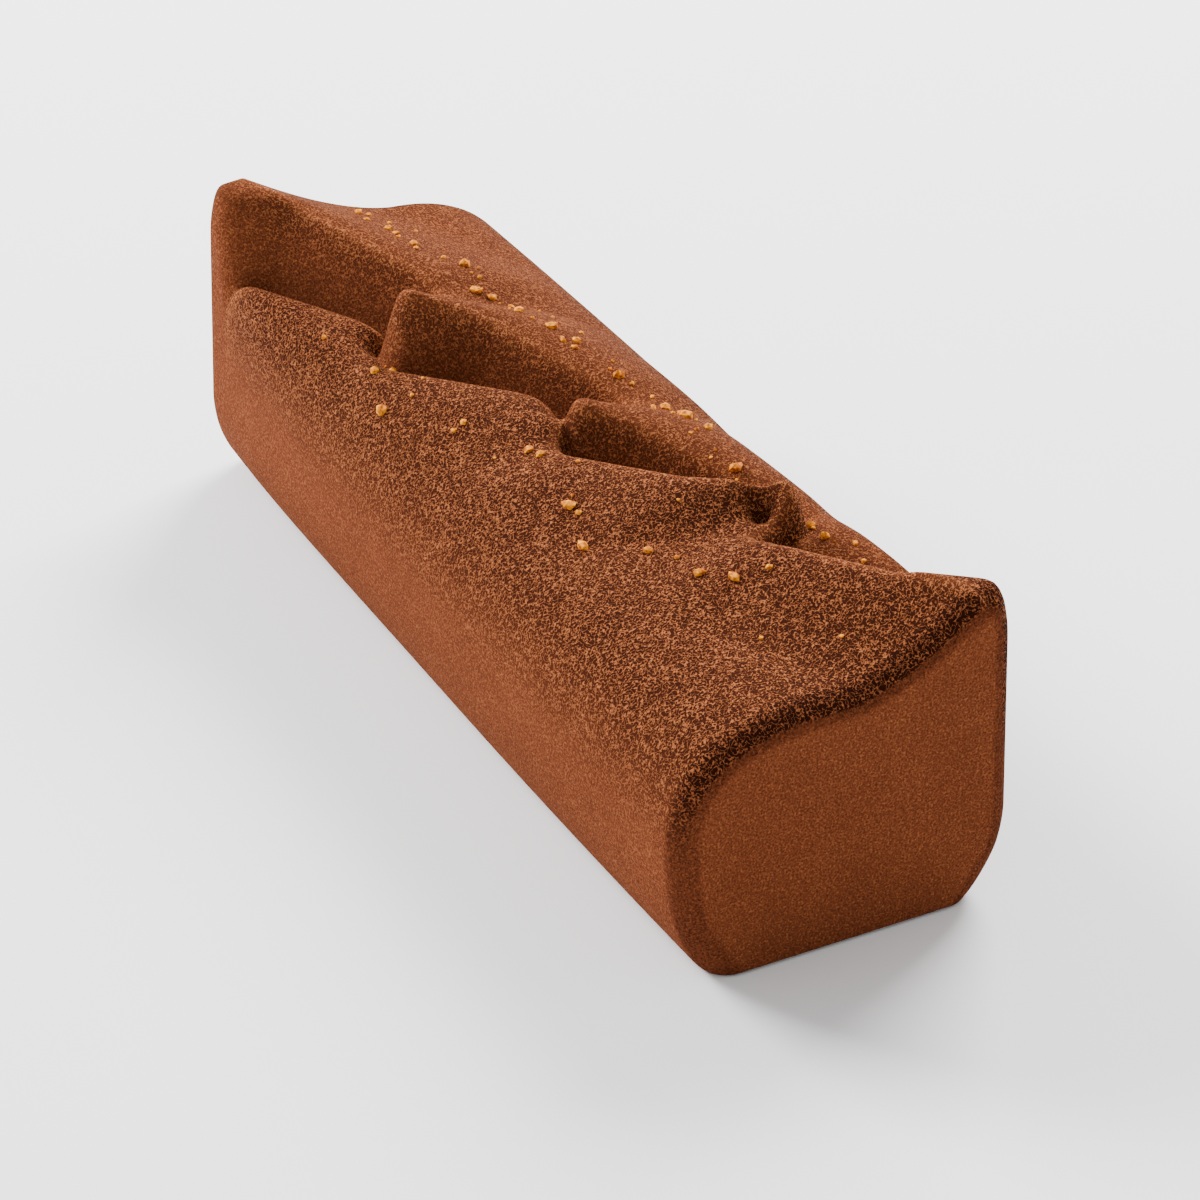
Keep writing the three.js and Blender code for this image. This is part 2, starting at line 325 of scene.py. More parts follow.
    def height(self, x: np.ndarray, y: np.ndarray, plateau: np.ndarray) -> np.ndarray:
        """Give the layer's height: plateau, folds and the wall that drops past its edge.

        Args:
            x: Places along the log.
            y: Places across it.
            plateau: The plain plateau's height there.

        Returns:
            The heights.
        """
        ridges = 0
        at_end = smooth_step(self.end_from, self.end_to, x)
        worn_off = self.worn_share * self.wall_slope * self.crest_rounding * (1 - at_end)
        for fold in self.folds:
            shown = smooth_step(fold.start - self.fade_in, fold.start + self.bend_length, x)
            shown = shown * (1 - smooth_step(fold.tip, fold.tip + self.fade_out, x))
            crest = fold.crest_height + fold.climb * (x - fold.start) + worn_off
            away = np.clip((self.crest_line(fold, x) - y) / self.ridge_reach, 0, 1)
            ridge = shown * np.maximum(0, crest - plateau) * (1 - away) ** self.ridge_power
            ridges = ridges + ridge**self.blend_power
        height = plateau + ridges ** (1 / self.blend_power)
        past = self.to_seam(x, y) - self.tip_radius - self.end_reach * at_end
        slope = self.steepness(x, y)
        rounding = self.crest_rounding * self.wall_slope / slope
        return height - self.pocket(x, y) - slope * (past + np.hypot(past, rounding)) / 2


@dataclass
class LogForm:
    """The whole form of the log, in millimetres, as heights over its base.

    Attributes:
        length: Its length.
        half_width: Its half width at both ends.
        side_bulge: How much wider each side is in the middle.
        end_fillet: The radius of the round rims of both ends.
        base_fillet: How high the lowest edge of both ends rises.
        corner_spread: How much farther the rims draw in at the foot, as a share.
        corner_height: The height below which they do.
        foot_turn: The angle that the round foot turns through.
        change_from: Where a side starts to change from its peak form to its shoulder form.
        change_to: Where that change is complete.
        wall_lean: How much the wall over a foot leans in, for each millimetre up.
        wall_rounding: How round the edge between that wall and the top is.
        valley_rounding: How round the valley between the two layers is.
        valley_depth: How deep the valley can get below the lower plateau.
        near: The layer on the camera's side.
        far: The layer on the other side, as it lies after half a turn of the log.
    """

    length: float = 250
    half_width: float = 41
    side_bulge: float = 2.5
    end_fillet: float = 6
    base_fillet: float = 1.1
    corner_spread: float = 0.7
    corner_height: float = 14
    foot_turn: float = math.radians(72)
    change_from: float = -105
    change_to: float = 10
    wall_lean: float = 0.035
    wall_rounding: float = 3
    valley_rounding: float = 1.2
    valley_depth: float = 11
    near: Layer = field(default_factory=lambda: Layer(
        folds=(
            Fold(-28, -119, -65, 61.5, 0.04, 0, 0),
            Fold(2.5, -54, -2, 61, 0.2, 4, 1),
            Fold(33.3, 4, 59.5, 65, 0.2, 7, 9),
            Fold(59.4, 64, 150, 71, 0.145, 7, 0),
        ),
        pockets=((-61.5, -21.5), (-3, -3), (59, 15)),
        ridge_reach=30,
    ))
    far: Layer = field(default_factory=lambda: Layer(
        folds=(
            Fold(-28, -119, -64, 55, 0.18, 0, 0),
            Fold(2.5, -58, -3, 61, 0.2, 4, 5.5),
            Fold(33.3, -4, 55, 64, 0.22, 7, 8),
            Fold(59.4, 58, 150, 69.6, 0.183, 7, 0),
        ),
        pockets=((-61.5, -21.5),),
        ridge_reach=40,
    ))

    def side(self, x: np.ndarray | float) -> dict[str, np.ndarray]:
        """Give the near side's sizes at x, from its peak form behind to its shoulder form in front.

        Args:
            x: Places along the log, or their negatives for the far side.

        Returns:
            Each size by name, and the half width as widest.
        """
        share = smooth_step(self.change_from, self.change_to, np.asarray(x, float))
        peak, shoulder = SIDE_FORMS[SideKind.PEAK], SIDE_FORMS[SideKind.SHOULDER]
        sizes = {}
        for name in ("widest_at", "foot_inset", "shoulder_round", "plateau", "power"):
            low, high = getattr(peak, name), getattr(shoulder, name)
            sizes[name] = low + (high - low) * share
        sizes["widest"] = self.half_width + self.side_bulge * (1 - (2 * x / self.length) ** 2)
        return sizes

    @staticmethod
    def rise(side: dict[str, np.ndarray], y: np.ndarray) -> np.ndarray:
        """Give how much of its full height a rounded shoulder has reached at y, from 0 to 1."""
        reach = np.clip(1 - (side["widest"] + y) / side["shoulder_round"], 0, 1)
        return (1 - reach ** side["power"]) ** (1 / side["power"])

    def top(self, x: np.ndarray, y: np.ndarray) -> np.ndarray:
        """Give the height of the top of the log.

        Args:
            x: Places along the log.
            y: Places across it.

        Returns:
            The heights.
        """
        near_side, far_side = self.side(x), self.side(-x)
        near = self.near.height(x, y, near_side["plateau"])
        far = self.far.height(-x, -y, far_side["plateau"])
        folded = rounded_max(near, far, self.valley_rounding)
        floor = np.minimum(near_side["plateau"], far_side["plateau"]) - self.valley_depth
        floored = rounded_max(folded, floor, self.valley_rounding)
        widest_at = np.where(y < 0, near_side["widest_at"], far_side["widest_at"])
        height = widest_at + (floored - widest_at) * self.rise(near_side, y) * self.rise(far_side, -y)
        for side, outward in ((near_side, y), (far_side, -y)):
            inset = np.maximum(0, side["widest"] + outward)
            wall = side["widest_at"] + inset / self.wall_lean
            height = rounded_min(height, wall, self.wall_rounding * np.minimum(1, inset))
        return height


@dataclass(frozen=True)
class CocoaVelvet:
    """Cocoa butter and chocolate sprayed onto frozen mousse.

    The spray freezes as short curled grains, which give a matt, suede-like face. The colour
    paints the light on the tips of the grains and the shade in the gaps between them. The grains
    are coarse on the top and fine on the sides, and the coarse ones' dark gaps paint more shade.
    The body's attributes say how coarse the grains are, and where the folds' rims get a painted
    highlight and the ends' rims get painted shade.

    Attributes:
        gap: The colour between the grains, a painted shade in the gaps.
        body: The colour of the coat itself.
        tip: The colour of the grains' tips, paler with the painted light that they catch.
        body_at: The tone at which the coat has its own colour.
        grain_mm: The size of a coarse grain.
        wander_mm: The size of the curls that the grains follow.
        wander_reach_mm: How far the curls push the grains aside.
        line_width: How wide a grain's pale line is, as a share of the noise's range.
        fine_mm: The size of a fine grain.
        fine_range: The part of the noise's range that the fine grains spread.
        fine_tones: The tones that they spread it to.
        patch_mm: The size of the broad paler and darker patches.
        patch_share: How much tone the patches add.
        noise_detail: How many finer octaves each noise has.
        noise_roughness: How strong those are.
        roughness: The surface's roughness, full because the grains are matt.
        specular: Its specular level, low because the grains trap the light.
        bump_mm: How high the grains stand.
    """

    gap: str = "#280E06"
    body: str = "#69361F"
    tip: str = "#A9653C"
    body_at: float = 0.5
    grain_mm: float = 0.8
    wander_mm: float = 1.3
    wander_reach_mm: float = 0.7
    line_width: float = 0.1
    fine_mm: float = 0.5
    fine_range: tuple[float, float] = (0.25, 0.75)
    fine_tones: tuple[float, float] = (0.26, 0.74)
    patch_mm: float = 16
    patch_share: float = 0.1
    noise_detail: float = 1.0
    noise_roughness: float = 0.45
    roughness: float = 1.0
    specular: float = 0.03
    bump_mm: float = 0.35

    def noise(
        self, tree: bpy.types.NodeTree, size_mm: float, place: bpy.types.NodeSocket
    ) -> bpy.types.NodeSocket:
        """Add a soft noise with lumps of a real size.

        Args:
            tree: The material's node tree.
            size_mm: The size of a lump.
            place: The coordinates that it reads.

        Returns:
            The noise's value.
        """
        settings = {
            "Scale": 1 / (size_mm * MM),
            "Detail": self.noise_detail,
            "Roughness": self.noise_roughness,
        }
        return add_node(tree, "ShaderNodeTexNoise", settings, {"Vector": place}).outputs["Fac"]

    def grains(self, tree: bpy.types.NodeTree, place: bpy.types.NodeSocket) -> bpy.types.NodeSocket:
        """Add the curled grains: pale lines where a wandering noise crosses its middle value.

        Args:
            tree: The material's node tree.
            place: The object's coordinates.

        Returns:
            One on a grain, zero in a gap.
        """
        wander = add_node(
            tree, "ShaderNodeTexNoise",
            {"Scale": 1 / (self.wander_mm * MM), "Detail": self.noise_detail},
            {"Vector": place},
        )
        shift = add_node(
            tree, "ShaderNodeVectorMath",
            {"operation": "MULTIPLY_ADD", SECOND: (self.wander_reach_mm * MM,) * 3},
            {FIRST: wander.outputs["Color"], THIRD: place},
        )
        lumps = self.noise(tree, self.grain_mm, shift.outputs["Vector"])
        middle = add_node(
            tree, "ShaderNodeMath", {"operation": "SUBTRACT", SECOND: NOISE_MIDDLE}, {FIRST: lumps}
        )
        away = add_node(
            tree, "ShaderNodeMath", {"operation": "ABSOLUTE"}, {FIRST: middle.outputs["Value"]}
        )
        line = add_node(
            tree, "ShaderNodeMapRange",
            {
                "interpolation_type": "SMOOTHSTEP",
                "From Max": self.line_width,
                "To Min": 1.0,
                "To Max": 0.0,
            },
            {"Value": away.outputs["Value"]},
        )
        return line.outputs["Result"]

    def make(self) -> bpy.types.Material:
        """Build the material.

        Returns:
            The material, with its grains in Object coordinates.
        """
        material = bpy.data.materials.new("sprayed cocoa velvet")
        material.use_nodes = True
        tree = material.node_tree
        tree.nodes.clear()
        place = add_node(tree, "ShaderNodeTexCoord", {}, {}).outputs["Object"]
        coarse = add_node(tree, "ShaderNodeAttribute", {"attribute_name": COARSENESS_AND_GAP_SHADE}, {}).outputs["Fac"]
        # Read the painted highlight on the folds' rims and the painted shade on the ends' rims.
        pale = add_node(tree, "ShaderNodeAttribute", {"attribute_name": PAINTED_RIM_LIGHT_AND_SHADE}, {}).outputs["Fac"]
        fine = add_node(
            tree, "ShaderNodeMapRange",
            {
                "From Min": self.fine_range[0],
                "From Max": self.fine_range[1],
                "To Min": self.fine_tones[0],
                "To Max": self.fine_tones[1],
            },
            {"Value": self.noise(tree, self.fine_mm, place)},
        )
        # Coarse grains have more dark gaps, so the coarseness also paints shade.
        grain = add_node(
            tree, "ShaderNodeMix", {},
            {MIX_SHARE: coarse, MIX_LOW: fine.outputs["Result"], MIX_HIGH: self.grains(tree, place)},
        )
        patches = add_node(
            tree, "ShaderNodeMath",
            {"operation": "MULTIPLY_ADD", SECOND: self.patch_share, THIRD: -self.patch_share / 2},
            {FIRST: self.noise(tree, self.patch_mm, place)},
        )
        # The random patches, plus the painted highlight on the folds' rims and the painted shade on the
        # ends' rims.
        patches_and_painted_light = add_node(
            tree, "ShaderNodeMath", {"operation": "ADD"},
            {FIRST: patches.outputs["Value"], SECOND: pale},
        )
        tone = add_node(
            tree, "ShaderNodeMath", {"operation": "ADD", "use_clamp": True},
            {FIRST: grain.outputs["Result"], SECOND: patches_and_painted_light.outputs["Value"]},
        )
        # The tones run from the painted shade between the grains, through the coat's own colour, to the
        # painted light on their tips.
        colour = add_node(tree, "ShaderNodeValToRGB", {}, {"Fac": tone.outputs["Value"]})
        ramp = colour.color_ramp
        ramp.elements[0].color = linear(self.gap)
        ramp.elements[1].color = linear(self.tip)
        ramp.elements.new(self.body_at).color = linear(self.body)
        bump = add_node(
            tree, "ShaderNodeBump",
            {"Strength": 1.0, "Distance": self.bump_mm * MM},
            {"Height": grain.outputs["Result"]},
        )
        surface = add_node(
            tree, "ShaderNodeBsdfPrincipled",
            {"Roughness": self.roughness, "Specular IOR Level": self.specular},
            {"Base Color": colour.outputs["Color"], "Normal": bump.outputs["Normal"]},
        )
        add_node(tree, "ShaderNodeOutputMaterial", {}, {"Surface": surface.outputs["BSDF"]})
        return material


@dataclass(frozen=True)
class CaramelPraline:
    """Hazelnut praline: nuts boiled in caramel, cooled and chopped.

    The hard caramel is a golden amber, dull with its own dust, and its broken faces catch light.

    Attributes:
        deep: The colour of the thick caramel.
        pale: The colour of the thin caramel and the nuts in it.
        fleck_mm: The size of its flecks.
        fleck_range: The part of the noise's range that the two colours spread over.
        fleck_detail: How many finer octaves the flecks have.
        roughness: The surface's roughness under its dust.
        specular: Its specular level, low for the same dust.
    """

    deep: str = "#A04A0A"
    pale: str = "#F59C1E"
    fleck_mm: float = 0.9
    fleck_range: tuple[float, float] = (0.35, 0.65)
    fleck_detail: float = 2.0
    roughness: float = 0.7
    specular: float = 0.06

    def make(self) -> bpy.types.Material:
        """Build the material.

        Returns:
            The material.
        """
        material = bpy.data.materials.new("chopped caramel praline")
        material.use_nodes = True
        tree = material.node_tree
        tree.nodes.clear()
        place = add_node(tree, "ShaderNodeTexCoord", {}, {}).outputs["Object"]
        flecks = add_node(
            tree, "ShaderNodeTexNoise",
            {"Scale": 1 / (self.fleck_mm * MM), "Detail": self.fleck_detail},
            {"Vector": place},
        )
        share = add_node(
            tree, "ShaderNodeMapRange",
            {"From Min": self.fleck_range[0], "From Max": self.fleck_range[1]},
            {"Value": flecks.outputs["Fac"]},
        )
        colours = {MIX_COLOUR_LOW: linear(self.deep), MIX_COLOUR_HIGH: linear(self.pale)}
        colour = add_node(
            tree, "ShaderNodeMix",
            {"data_type": "RGBA", **colours},
            {MIX_SHARE: share.outputs["Result"]},
        )
        surface = add_node(
            tree, "ShaderNodeBsdfPrincipled",
            {"Roughness": self.roughness, "Specular IOR Level": self.specular},
            {"Base Color": colour.outputs[MIX_COLOUR_RESULT]},
        )
        add_node(tree, "ShaderNodeOutputMaterial", {}, {"Surface": surface.outputs["BSDF"]})
        return material


def finished_object(
    bm: bmesh.types.BMesh, name: str, material: bpy.types.Material, smooth: bool
) -> bpy.types.Object:
    """Turn a bmesh in millimetres into an object in metres.

    Args:
        bm: The shape, which is freed.
        name: The piece's name.
        material: Its finish.
        smooth: Whether its faces are shaded as one curved skin.

    Returns:
        The object, at the origin.
    """
    bmesh.ops.scale(bm, vec=(MM, MM, MM), verts=bm.verts)
    bmesh.ops.recalc_face_normals(bm, faces=bm.faces)
    mesh = bpy.data.meshes.new(name)
    bm.to_mesh(mesh)
    bm.free()
    if smooth:
        mesh.shade_smooth()
    mesh.materials.append(material)
    piece = bpy.data.objects.new(name, mesh)
    bpy.context.scene.collection.objects.link(piece)
    return piece


@dataclass
class LogBody:
    """The log's skin: one grid that is laid round the form and closed at both ends.

    Lengths are in millimetres. Coarseness and tone run from 0 to 1.

    Attributes:
        form: The log's form.
        rings: How many sections the straight part of the log has.
        around: How many columns the grid has round a section.
        fillet_rings: How many rings each end's round rim has.
        cap_rings: How many rings each end's flat face has.
        base_share: The base's share of the columns.
        foot_share: Each round foot's share of them.
        samples: How many heights are worked out across the top of a section.
        seam_closeness: How much closer the columns lie at the seam, as a share.
        seam_zone: How far from the seam they do.
        middle_height: The height of the middle of the flat faces.
        smoothing: Over how many columns to each side a section's normals are averaged.
        merge_distance: How close two vertices are merged.
        fine_below: The height up to which the grains are fine.
        coarse_above: The height from which they are coarse.
        side_coarse: The coarseness on the sides.
        near_coarse: The coarseness that the near layer's top adds; its dark gaps also paint the top's
            shade.
        far_coarse: The coarseness that the far layer's crests add.
        wall_shade_coarse: How much its upright walls add to that, more the less they face up, as painted
            shade.
        wall_fade: The length in which it fades past the far layer's edge.
        seam_blend: The difference in height over which one layer's coat takes over.
        rim_highlight_at: Where the painted highlight on a fold's rim lies, from the layer's edge
            outwards.
        rim_highlight_width: How wide it is.
        rim_highlight_share: How much tone it adds.
        top_margin: How far from the ends the top's own coat stops.
        flat_margin: How far from the ends the painted shade on the rims stops.
        fillet_shade_within: The length in which the painted shade grows on a rim.
        fillet_shade_share: How much tone the painted shade takes away there.
    """

    form: LogForm
    rings: int = 300
    around: int = 300
    fillet_rings: int = 8
    cap_rings: int = 8
    base_share: float = 0.06
    foot_share: float = 0.09
    samples: int = 900
    seam_closeness: float = 1.6
    seam_zone: float = 7
    middle_height: float = 36
    smoothing: int = 14
    merge_distance: float = 1e-5
    fine_below: float = 30
    coarse_above: float = 58
    side_coarse: float = 0.2
    near_coarse: float = 0.7
    far_coarse: float = 0.36
    wall_shade_coarse: float = 0.5
    wall_fade: float = 4
    seam_blend: float = 1
    rim_highlight_at: float = -0.8
    rim_highlight_width: float = 1.4
    rim_highlight_share: float = 0.26
    top_margin: float = 1
    flat_margin: float = 0.05
    fillet_shade_within: float = 2
    fillet_shade_share: float = 0.16

    def foot(self, x: float, count: int) -> np.ndarray:
        """Give the round foot of the near side at x, from the base up.

        Args:
            x: The place along the log, or its negative for the far side.
            count: How many points.

        Returns:
            The points' y and z.
        """
        side = self.form.side(x)
        turn = self.form.foot_turn
        angle = np.linspace(turn, 0, count)
        inset = side["foot_inset"] * (1 - np.cos(angle)) / (1 - math.cos(turn))
        height = side["widest_at"] * (1 - np.sin(angle) / math.sin(turn))
        return np.stack([inset - side["widest"], height], 1)

    def section(self, x: float) -> np.ndarray:
        """Give the closed outline at x: near foot, top, far foot and base, in that order.

        Args:
            x: The place along the log.

        Returns:
            One y and z for each column of the grid, the last the same as the first.
        """
        form = self.form
        base_count = round(self.around * self.base_share)
        foot_count = round(self.around * self.foot_share)
        near_foot, far_foot = self.foot(x, foot_count), self.foot(-x, foot_count)[::-1]
        far_foot = far_foot * (-1, 1)
        y = np.cos(np.linspace(0, math.pi, self.samples)) * near_foot[-1, 0]
        places = np.full(self.samples, x)
        z = form.top(places, y)
        z[0], z[-1] = near_foot[-1, 1], far_foot[0, 1]
        to_seam = np.minimum(np.abs(form.near.to_seam(places, y)), np.abs(form.far.to_seam(-places, -y)))
        closer = 1 + self.seam_closeness * np.exp(-((to_seam / self.seam_zone) ** 2))
        lengths = np.concatenate([[0], np.cumsum(closer[1:] * np.hypot(np.diff(y), np.diff(z)))])
        top_count = self.around + 1 - 2 * (foot_count - 1) - base_count
        even = np.linspace(0, lengths[-1], top_count)
        top = np.stack([np.interp(even, lengths, y), np.interp(even, lengths, z)], 1)
        base = np.linspace(far_foot[-1], near_foot[0], base_count + 1)
        return np.concatenate([near_foot[:-1], top, far_foot[1:], base[1:]])

    def inset(self, outline: np.ndarray, distance: float) -> np.ndarray:
        """Move an outline inwards along its smoothed normals, farther at the foot of its corners.

        Args:
            outline: The section's closed outline.
            distance: How far it moves in.

        Returns:
            The smaller outline, with its base lifted by the base's own small fillet.
        """
        base_count = round(self.around * self.base_share)
        skin = outline[:-base_count]
        run = np.gradient(skin, axis=0)
        normal = np.stack([run[:, 1], -run[:, 0]], 1)
        normal /= np.linalg.norm(normal, axis=1, keepdims=True)
        padded = np.pad(normal, ((self.smoothing, self.smoothing), (0, 0)), "edge")
        smoothed = sum(padded[step : step + len(normal)] for step in range(2 * self.smoothing + 1))
        smoothed /= np.linalg.norm(smoothed, axis=1, keepdims=True)
        above_corner = smooth_step(0, self.form.corner_height, skin[:, 1])
        reach = distance * (1 + self.form.corner_spread * (1 - above_corner))
        lifted = distance * self.form.base_fillet / self.form.end_fillet
        moved_y = skin[:, 0] + reach * smoothed[:, 0]
        moved_z = np.maximum(skin[:, 1] + reach * smoothed[:, 1] * above_corner, lifted)
        moved = np.stack([moved_y, moved_z], 1)
        return np.concatenate([moved, np.linspace(moved[-1], moved[0], base_count + 1)[1:]])

    def end(self, side: int) -> list[tuple[float, np.ndarray]]:
        """Give the rounded rim and the flat face of one end, from the rim inwards.

        Args:
            side: 1 for the front end, -1 for the back end.

        Returns:
            Each ring's place along the log and its outline.
        """
        half, fillet = self.form.length / 2, self.form.end_fillet
        outline = self.section(side * (half - fillet))
        rings = []
        for angle in np.linspace(0, math.pi / 2, self.fillet_rings + 1)[1:]:
            x = side * (half - fillet + fillet * math.sin(angle))
            rings.append((x, self.inset(outline, fillet * (1 - math.cos(angle)))))
        rim = rings[-1][1]
        middle = np.array([0, self.middle_height])
        for scale in np.linspace(1, 0, self.cap_rings + 1)[1:]:
            rings.append((side * half, middle + (rim - middle) * scale))
        return rings

    def make(self, finish: CocoaVelvet) -> bpy.types.Object:
        """Build the skin.

        Args:
            finish: The velvet coat.

        Returns:
            The log's body.
        """
        flat = self.form.length / 2 - self.form.end_fillet
        rings = self.end(-1)[::-1]
        rings += [(x, self.section(x)) for x in np.linspace(-flat, flat, self.rings)]
        rings += self.end(1)
        gaps = len(rings) - 1
        bm = bmesh.new()
        bmesh.ops.create_grid(bm, x_segments=gaps, y_segments=self.around, size=GRID_REACH)
        for vert in bm.verts:
            x, outline = rings[round((vert.co.x + GRID_REACH) * gaps)]
            y, z = outline[round((vert.co.y + GRID_REACH) * self.around)]
            vert.co = (x, y, z)
        bmesh.ops.remove_doubles(bm, verts=bm.verts, dist=self.merge_distance)
        piece = finished_object(bm, "log_body", finish.make(), smooth=True)
        self.paint(piece.data)
        return piece

    def paint(self, mesh: bpy.types.Mesh) -> None:
        """Store at each vertex how coarse the velvet's grains are and how pale it is.

        The rims of the folds are pale with a painted highlight, and the round rims of both ends are
        dark with painted shade.

        Args:
            mesh: The finished skin, in metres.
        """
        half = self.form.length / 2
        places = np.empty(3 * len(mesh.vertices), np.float32)
        mesh.vertices.foreach_get("co", places)
        x, y, z = (places.reshape(-1, 3) / MM).T.astype(float)
        normals = np.empty(3 * len(mesh.vertices), np.float32)
        mesh.vertices.foreach_get("normal", normals)
        facing_up = np.clip(normals.reshape(-1, 3)[:, 2], 0, 1)
        near, far = self.form.near, self.form.far
        near_height = near.height(x, y, self.form.side(x)["plateau"])
        far_height = far.height(-x, -y, self.form.side(-x)["plateau"])
        on_near = smooth_step(-self.seam_blend, self.seam_blend, near_height - far_height)
        on_top = smooth_step(self.fine_below, self.coarse_above, z)
        on_top = on_top * (np.abs(x) < half - self.top_margin)
        to_near, to_far = near.to_seam(x, y) - near.tip_radius, far.to_seam(-x, -y) - far.tip_radius
        by_crest = np.exp(-np.maximum(0, to_far) / self.wall_fade)
        # The far layer's upright walls get coarser grains the less they face up, whose darker gaps paint
        # their shade.
        on_far = (self.far_coarse + self.wall_shade_coarse * (1 - facing_up)) * by_crest
        coarse = self.side_coarse + on_top * (on_near * self.near_coarse + (1 - on_near) * on_far)
        # A painted highlight along the rims of the folds.
        rim_highlight_near = np.exp(-(((to_near - self.rim_highlight_at) / self.rim_highlight_width) ** 2)) * on_near
        rim_highlight_far = np.exp(-(((to_far - self.rim_highlight_at) / self.rim_highlight_width) ** 2)) * (1 - on_near)
        # Painted shade on the round rims of both ends.
        fillet_start = half - self.form.end_fillet
        on_fillet = smooth_step(fillet_start, fillet_start + self.fillet_shade_within, np.abs(x))
        on_fillet = on_fillet * (np.abs(x) < half - self.flat_margin)
        # The pale tone is that painted highlight less the painted shade on the ends' rims.
        pale = self.rim_highlight_share * on_top * (rim_highlight_near + rim_highlight_far) - self.fillet_shade_share * on_fillet
        for name, values in ((COARSENESS_AND_GAP_SHADE, coarse), (PAINTED_RIM_LIGHT_AND_SHADE, pale)):
            attribute = mesh.attributes.new(name, "FLOAT", "POINT")
            attribute.data.foreach_set("value", values.astype(np.float32))


class SeededDraws:
    """Random numbers from 0 to 1 that come out the same each time (a linear congruential rule)."""

    MODULUS = 2147483647
    FACTOR = 48271

    def __init__(self, seed: int) -> None:
        """Start from a seed."""
        self.state = seed

    def next(self) -> float:
        """Give the next number."""
        self.state = self.state * self.FACTOR % self.MODULUS
        return self.state / self.MODULUS


@dataclass(frozen=True)
class CrumbBand:
    """A strip of the top where crumbs were strewn, in millimetres.

    Attributes:
        count: How many crumbs lie in it.
        from_x: Where it starts along the log.
        to_x: Where it ends.
        from_y: Its middle across the log at its start.
        to_y: Its middle at its end.
        scatter: How far the crumbs lie to each side of its middle.
    """

    count: int
    from_x: float
    to_x: float
    from_y: float
    to_y: float
    scatter: float


@dataclass
class PralineCrumbs:
    """Broken praline bits, each pressed into the top where it fell, in millimetres.

    Attributes:
        form: The log's form, which carries them.
        seed: The seed of the larger crumbs' random numbers.
        bands: The strips that they lie in.
        least: Their least radius.
        most: Their greatest radius.
        sink: How high a crumb's middle stands over the top, as a share of its radius.
        fine_seed: The seed of the finer crumbs' random numbers.
        fine_bands: The strips that those lie in.
        fine_least: Their least radius.
        fine_most: Their greatest radius.
        lump_least: The least reach of a corner, as a share of the radius.
        lump_spread: How much farther a corner may reach.
        stretch_least: The least length of a crumb, as a share of its width.
        stretch_spread: How much longer it may be.
        flatness: Its height as a share of its width.
    """

    form: LogForm
    seed: int = 24
    bands: tuple[CrumbBand, ...] = (
        CrumbBand(8, -112, -30, 0, 14, 7),
        CrumbBand(9, -30, 72, 15, 28, 4),
        CrumbBand(11, -62, 92, -31, -6, 11),
    )
    least: float = 0.9
    most: float = 1.6
    sink: float = 0.25
    fine_seed: int = 7
    fine_bands: tuple[CrumbBand, ...] = (
        CrumbBand(22, -116, -28, 0, 15, 10),
        CrumbBand(26, -30, 80, 15, 28, 6),
        CrumbBand(14, -70, 112, -32, 4, 13),
    )
    fine_least: float = 0.35
    fine_most: float = 0.8
    lump_least: float = 0.8
    lump_spread: float = 0.4
    stretch_least: float = 0.9
    stretch_spread: float = 0.5
    flatness: float = 0.85

    def crumb(
        self, bm: bmesh.types.BMesh, draws: SeededDraws, x: float, y: float, radii: tuple[float, float]
    ) -> None:
        """Add one lumpy stone.

        Args:
            bm: The mesh that takes it.
            draws: The random numbers.
            x: Its place along the log.
            y: Its place across the log.
            radii: Its least and its greatest radius.
        """
        radius = radii[0] + (radii[1] - radii[0]) * draws.next()
        stone = bmesh.ops.create_icosphere(bm, subdivisions=1, radius=1)["verts"]
        for vert in stone:
            vert.co *= self.lump_least + self.lump_spread * draws.next()
        length = radius * (self.stretch_least + self.stretch_spread * draws.next())
        stretch = (length, radius, radius * self.flatness)
        bmesh.ops.scale(bm, vec=stretch, verts=stone)
        bmesh.ops.rotate(bm, matrix=Matrix.Rotation(draws.next() * math.tau, 3, "Z"), verts=stone)
        height = float(self.form.top(np.array([x]), np.array([y]))[0])
        bmesh.ops.translate(bm, vec=(x, y, height + radius * self.sink), verts=stone)

    def strew(
        self, bm: bmesh.types.BMesh, seed: int, bands: tuple[CrumbBand, ...], radii: tuple[float, float]
    ) -> None:
        """Add the crumbs of some bands.

        Args:
            bm: The mesh that takes them.
            seed: The seed of their random numbers.
            bands: The strips that they lie in.
            radii: Their least and their greatest radius.
        """
        draws = SeededDraws(seed)
        for band in bands:
            for i in range(band.count):
                share = (i + draws.next()) / band.count
                aside = (draws.next() + draws.next() - 1) * band.scatter
                x = band.from_x + (band.to_x - band.from_x) * share
                y = band.from_y + (band.to_y - band.from_y) * share + aside
                self.crumb(bm, draws, x, y, radii)

    def make(self, finish: CaramelPraline) -> bpy.types.Object:
        """Build all the crumbs as one mesh.

        Args:
            finish: The caramel.

        Returns:
            The crumbs.
        """
        bm = bmesh.new()
        self.strew(bm, self.seed, self.bands, (self.least, self.most))
        self.strew(bm, self.fine_seed, self.fine_bands, (self.fine_least, self.fine_most))
        return finished_object(bm, "praline_crumbs", finish.make(), smooth=False)


@dataclass(frozen=True)
class SoftLight:
    """One square studio lamp, in metres and watts.

    Attributes:
        name: Its name in the scene.
        place: Where it hangs.
        size: The length of its sides.
        power: Its power.
    """

    name: str
    place: tuple[float, float, float]
    size: float
    power: float


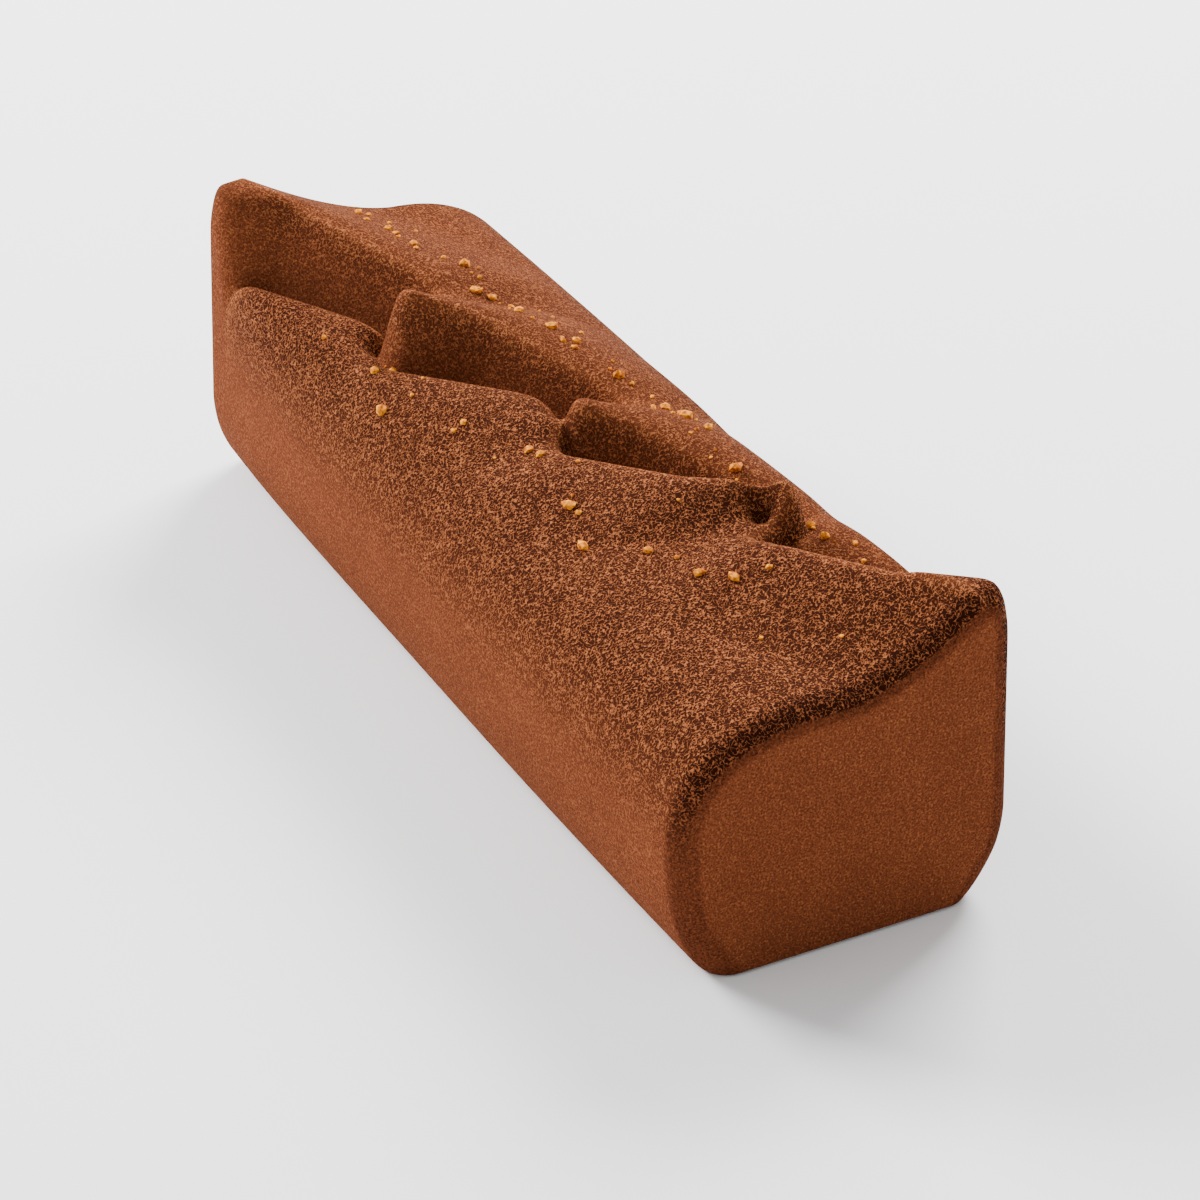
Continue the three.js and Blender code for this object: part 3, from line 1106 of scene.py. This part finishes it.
@dataclass
class Studio:
    """A pale floor, soft lamps and the camera, in metres.

    Attributes:
        camera_place: Where the camera stands.
        camera_direction: The direction that it looks in.
        focal_length: Its focal length in millimetres.
        floor_size: The length of the floor's sides.
        floor_colour: The floor's colour.
        floor_roughness: Its roughness.
        sky_colour: The colour of the even light from all round.
        sky: Its strength.
        lamps: The lamps.
    """

    camera_place: tuple[float, float, float] = (0.7407, -0.3768, 0.5389)
    camera_direction: tuple[float, float, float] = (-0.7523, 0.3886, -0.5320)
    focal_length: float = 126
    floor_size: float = 6
    floor_colour: str = "#FDFDFD"
    floor_roughness: float = 0.9
    sky_colour: str = "#FFFFFF"
    sky: float = 0.8
    lamps: tuple[SoftLight, ...] = (
        SoftLight("key", (-1.7, -0.95, 1.1), 0.9, 125),
        SoftLight("back", (-0.85, 1.15, 1.15), 0.9, 82),
    )

    def make_camera(self) -> None:
        """Place the camera where the photo was taken from."""
        data = bpy.data.cameras.new("camera")
        data.lens = self.focal_length
        camera = bpy.data.objects.new("camera", data)
        camera.location = self.camera_place
        camera.rotation_euler = Vector(self.camera_direction).to_track_quat("-Z", "Y").to_euler()
        bpy.context.scene.collection.objects.link(camera)
        bpy.context.scene.camera = camera

    def make_floor(self) -> None:
        """Lay a pale matt floor under the cake."""
        bm = bmesh.new()
        bmesh.ops.create_grid(bm, x_segments=1, y_segments=1, size=self.floor_size / 2)
        mesh = bpy.data.meshes.new("floor")
        bm.to_mesh(mesh)
        bm.free()
        floor = bpy.data.objects.new("floor", mesh)
        bpy.context.scene.collection.objects.link(floor)
        material = bpy.data.materials.new("matt studio paper")
        material.use_nodes = True
        surface = material.node_tree.nodes["Principled BSDF"]
        surface.inputs["Base Color"].default_value = linear(self.floor_colour)
        surface.inputs["Roughness"].default_value = self.floor_roughness
        mesh.materials.append(material)

    def make_lamps(self) -> None:
        """Hang the lamps, each turned to the cake, and light the sky evenly."""
        for lamp in self.lamps:
            data = bpy.data.lights.new(lamp.name, "AREA")
            data.size = lamp.size
            data.energy = lamp.power
            light = bpy.data.objects.new(lamp.name, data)
            light.location = lamp.place
            light.rotation_euler = (-Vector(lamp.place)).to_track_quat("-Z", "Y").to_euler()
            bpy.context.scene.collection.objects.link(light)
        world = bpy.data.worlds.new("studio")
        world.use_nodes = True
        background = world.node_tree.nodes["Background"]
        background.inputs["Color"].default_value = linear(self.sky_colour)
        background.inputs["Strength"].default_value = self.sky
        bpy.context.scene.world = world

    def make(self) -> None:
        """Build the camera, the floor and the lamps."""
        self.make_camera()
        self.make_floor()
        self.make_lamps()


def main() -> None:
    """Build the studio and the cake's pieces in order, and report each one."""
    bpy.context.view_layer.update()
    LOG.info("%s in the frame: %d faces", CAD_NODE, len(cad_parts[CAD_NODE].data.polygons))
    Studio().make()
    form = LogForm()
    body = LogBody(form).make(CocoaVelvet())
    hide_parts(CAD_NODE)
    crumbs = PralineCrumbs(form).make(CaramelPraline())
    for piece in (body, crumbs):
        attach(piece, "root")
        LOG.info("%s: %d faces", piece.name, len(piece.data.polygons))


if __name__ == "__main__":
    main()
